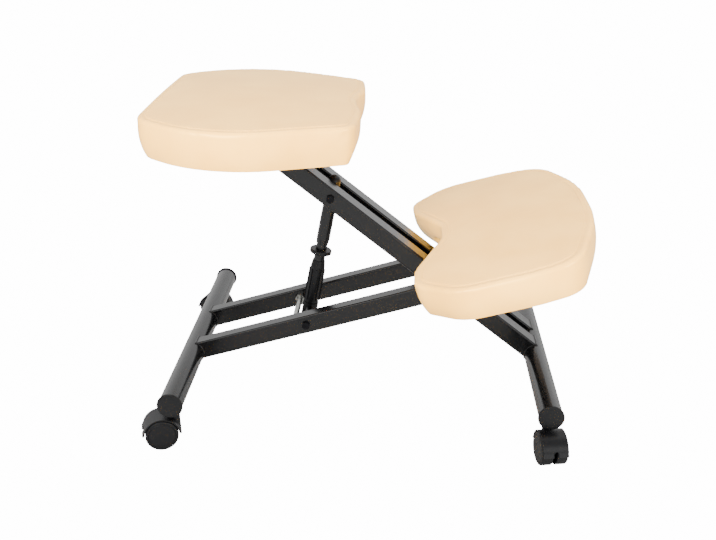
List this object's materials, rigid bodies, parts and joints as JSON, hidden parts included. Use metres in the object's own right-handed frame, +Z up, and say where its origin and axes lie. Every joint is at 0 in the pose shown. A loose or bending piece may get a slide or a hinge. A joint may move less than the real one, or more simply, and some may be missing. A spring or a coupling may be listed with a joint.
{
  "type": "kneeling chair",
  "caption": "Kneeling chair on hooded twin-wheel casters: crossed steel rails carry a padded seat and a padded knee rest, and a screw adjuster between the rails sets the height.",
  "frame": {"origin": "middle of the whole chair's box, on the floor", "axes": "+X from the seat to the knee rest, +Y to the sitter's left, +Z up"},
  "size_m": [0.7388, 0.5726, 0.5264],
  "materials": {
    "frame_black": "gloss",
    "plastic_black": "satin",
    "caster_black": "satin",
    "bolt_black": "satin",
    "zinc": "zinc plated",
    "brass": "machined",
    "leather_cream": "smooth, soft sheen",
    "board_wood": "raw plywood"
  },
  "bodies": {
    "lower_frame": {"rear_cross_tube": "frame_black", "rear_tube_caps": "plastic_black", "lower_rail_right": "frame_black", "lower_rail_left": "frame_black", "lower_rail_plugs": "plastic_black", "pivot_bolt": "bolt_black", "pivot_nut": "bolt_black", "pivot_washers": "bolt_black", "lower_link_bolt": "bolt_black", "lower_link_nut": "bolt_black", "lower_link_spacers": "bolt_black", "cross_stay": "zinc", "cross_stay_nuts": "zinc", "rear_right_stem": "zinc", "rear_left_stem": "zinc"},
    "upper_frame": {"front_cross_tube": "frame_black", "front_tube_caps": "plastic_black", "upper_rail_right": "frame_black", "upper_rail_left": "frame_black", "pivot_sleeve": "bolt_black", "upper_link_bolt": "bolt_black", "upper_link_nut": "bolt_black", "upper_link_spacers": "bolt_black", "seat_cushion": "leather_cream", "seat_board": "board_wood", "seat_screws": "zinc", "seat_plate": "frame_black", "knee_cushion": "leather_cream", "knee_board": "board_wood", "knee_screws": "zinc", "knee_plate": "frame_black", "knee_posts": "frame_black", "front_right_stem": "zinc", "front_left_stem": "zinc"},
    "adjuster_foot": {"adjuster_foot": "plastic_black"},
    "adjuster_grip": {"adjuster_grip": "plastic_black", "adjuster_nut": "brass"},
    "adjuster_rod": {"adjuster_rod": "frame_black", "adjuster_collar": "plastic_black", "upper_sleeve": "frame_black", "upper_sleeve_cap": "plastic_black"},
    "rear_right_swivel": {"rear_right_hood": "caster_black", "rear_right_axle": "zinc"},
    "rear_right_wheel_a": {"rear_right_wheel_a": "caster_black"},
    "rear_right_wheel_b": {"rear_right_wheel_b": "caster_black"},
    "rear_left_swivel": {"rear_left_hood": "caster_black", "rear_left_axle": "zinc"},
    "rear_left_wheel_a": {"rear_left_wheel_a": "caster_black"},
    "rear_left_wheel_b": {"rear_left_wheel_b": "caster_black"},
    "front_right_swivel": {"front_right_hood": "caster_black", "front_right_axle": "zinc"},
    "front_right_wheel_a": {"front_right_wheel_a": "caster_black"},
    "front_right_wheel_b": {"front_right_wheel_b": "caster_black"},
    "front_left_swivel": {"front_left_hood": "caster_black", "front_left_axle": "zinc"},
    "front_left_wheel_a": {"front_left_wheel_a": "caster_black"},
    "front_left_wheel_b": {"front_left_wheel_b": "caster_black"}
  },
  "joints": [
    {"name": "height_pivot", "type": "hinge", "parent": "lower_frame", "child": "upper_frame", "pos_m": [0.11856, 0, 0.21261], "axis": [0, 1, 0], "range_deg": [-3.5, 9]},
    {"name": "adjuster_tilt", "type": "hinge", "parent": "lower_frame", "child": "adjuster_foot", "pos_m": [-0.11359, 0, 0.14253], "axis": [0, 1, 0], "range_deg": [-1.8, 4.55]},
    {"name": "rod_slide", "type": "slide", "parent": "adjuster_foot", "child": "adjuster_rod", "axis": [0.184, 0, 0.9829], "range_m": [-0.0131, 0.0335]},
    {"name": "grip_turn", "type": "hinge", "parent": "adjuster_foot", "child": "adjuster_grip", "pos_m": [-0.11359, 0, 0.14253], "axis": [0.184, 0, 0.9829], "range_deg": [-1504.8, 586.4]},
    {"name": "rear_right_turn", "type": "hinge", "parent": "lower_frame", "child": "rear_right_swivel", "pos_m": [-0.3124, -0.23, 0.055], "axis": [0, 0, 1], "continuous": true},
    {"name": "rear_right_wheel_a_spin", "type": "hinge", "parent": "rear_right_swivel", "child": "rear_right_wheel_a", "pos_m": [-0.33355, -0.23606, 0.0265], "axis": [-0.2756, 0.9613, 0], "continuous": true},
    {"name": "rear_right_wheel_b_spin", "type": "hinge", "parent": "rear_right_swivel", "child": "rear_right_wheel_b", "pos_m": [-0.33355, -0.23606, 0.0265], "axis": [-0.2756, 0.9613, 0], "continuous": true},
    {"name": "rear_left_turn", "type": "hinge", "parent": "lower_frame", "child": "rear_left_swivel", "pos_m": [-0.3124, 0.23, 0.055], "axis": [0, 0, 1], "continuous": true},
    {"name": "rear_left_wheel_a_spin", "type": "hinge", "parent": "rear_left_swivel", "child": "rear_left_wheel_a", "pos_m": [-0.33355, 0.23606, 0.0265], "axis": [0.2756, 0.9613, 0], "continuous": true},
    {"name": "rear_left_wheel_b_spin", "type": "hinge", "parent": "rear_left_swivel", "child": "rear_left_wheel_b", "pos_m": [-0.33355, 0.23606, 0.0265], "axis": [0.2756, 0.9613, 0], "continuous": true},
    {"name": "front_right_turn", "type": "hinge", "parent": "upper_frame", "child": "front_right_swivel", "pos_m": [0.2851, -0.23, 0.055], "axis": [0, 0, 1], "continuous": true},
    {"name": "front_right_wheel_a_spin", "type": "hinge", "parent": "front_right_swivel", "child": "front_right_wheel_a", "pos_m": [0.28892, -0.25167, 0.0265], "axis": [-0.9848, -0.1736, 0], "continuous": true},
    {"name": "front_right_wheel_b_spin", "type": "hinge", "parent": "front_right_swivel", "child": "front_right_wheel_b", "pos_m": [0.28892, -0.25167, 0.0265], "axis": [-0.9848, -0.1736, 0], "continuous": true},
    {"name": "front_left_turn", "type": "hinge", "parent": "upper_frame", "child": "front_left_swivel", "pos_m": [0.2851, 0.23, 0.055], "axis": [0, 0, 1], "continuous": true},
    {"name": "front_left_wheel_a_spin", "type": "hinge", "parent": "front_left_swivel", "child": "front_left_wheel_a", "pos_m": [0.28892, 0.25167, 0.0265], "axis": [0.9848, -0.1736, 0], "continuous": true},
    {"name": "front_left_wheel_b_spin", "type": "hinge", "parent": "front_left_swivel", "child": "front_left_wheel_b", "pos_m": [0.28892, 0.25167, 0.0265], "axis": [0.9848, -0.1736, 0], "continuous": true}
  ],
  "couplings": [
    {"joint": "adjuster_tilt", "follows": "height_pivot", "ratio": 0.5},
    {"joint": "rod_slide", "follows": "height_pivot", "m_per_rad": 0.2126},
    {"joint": "grip_turn", "follows": "height_pivot", "ratio": -166.98}
  ]
}
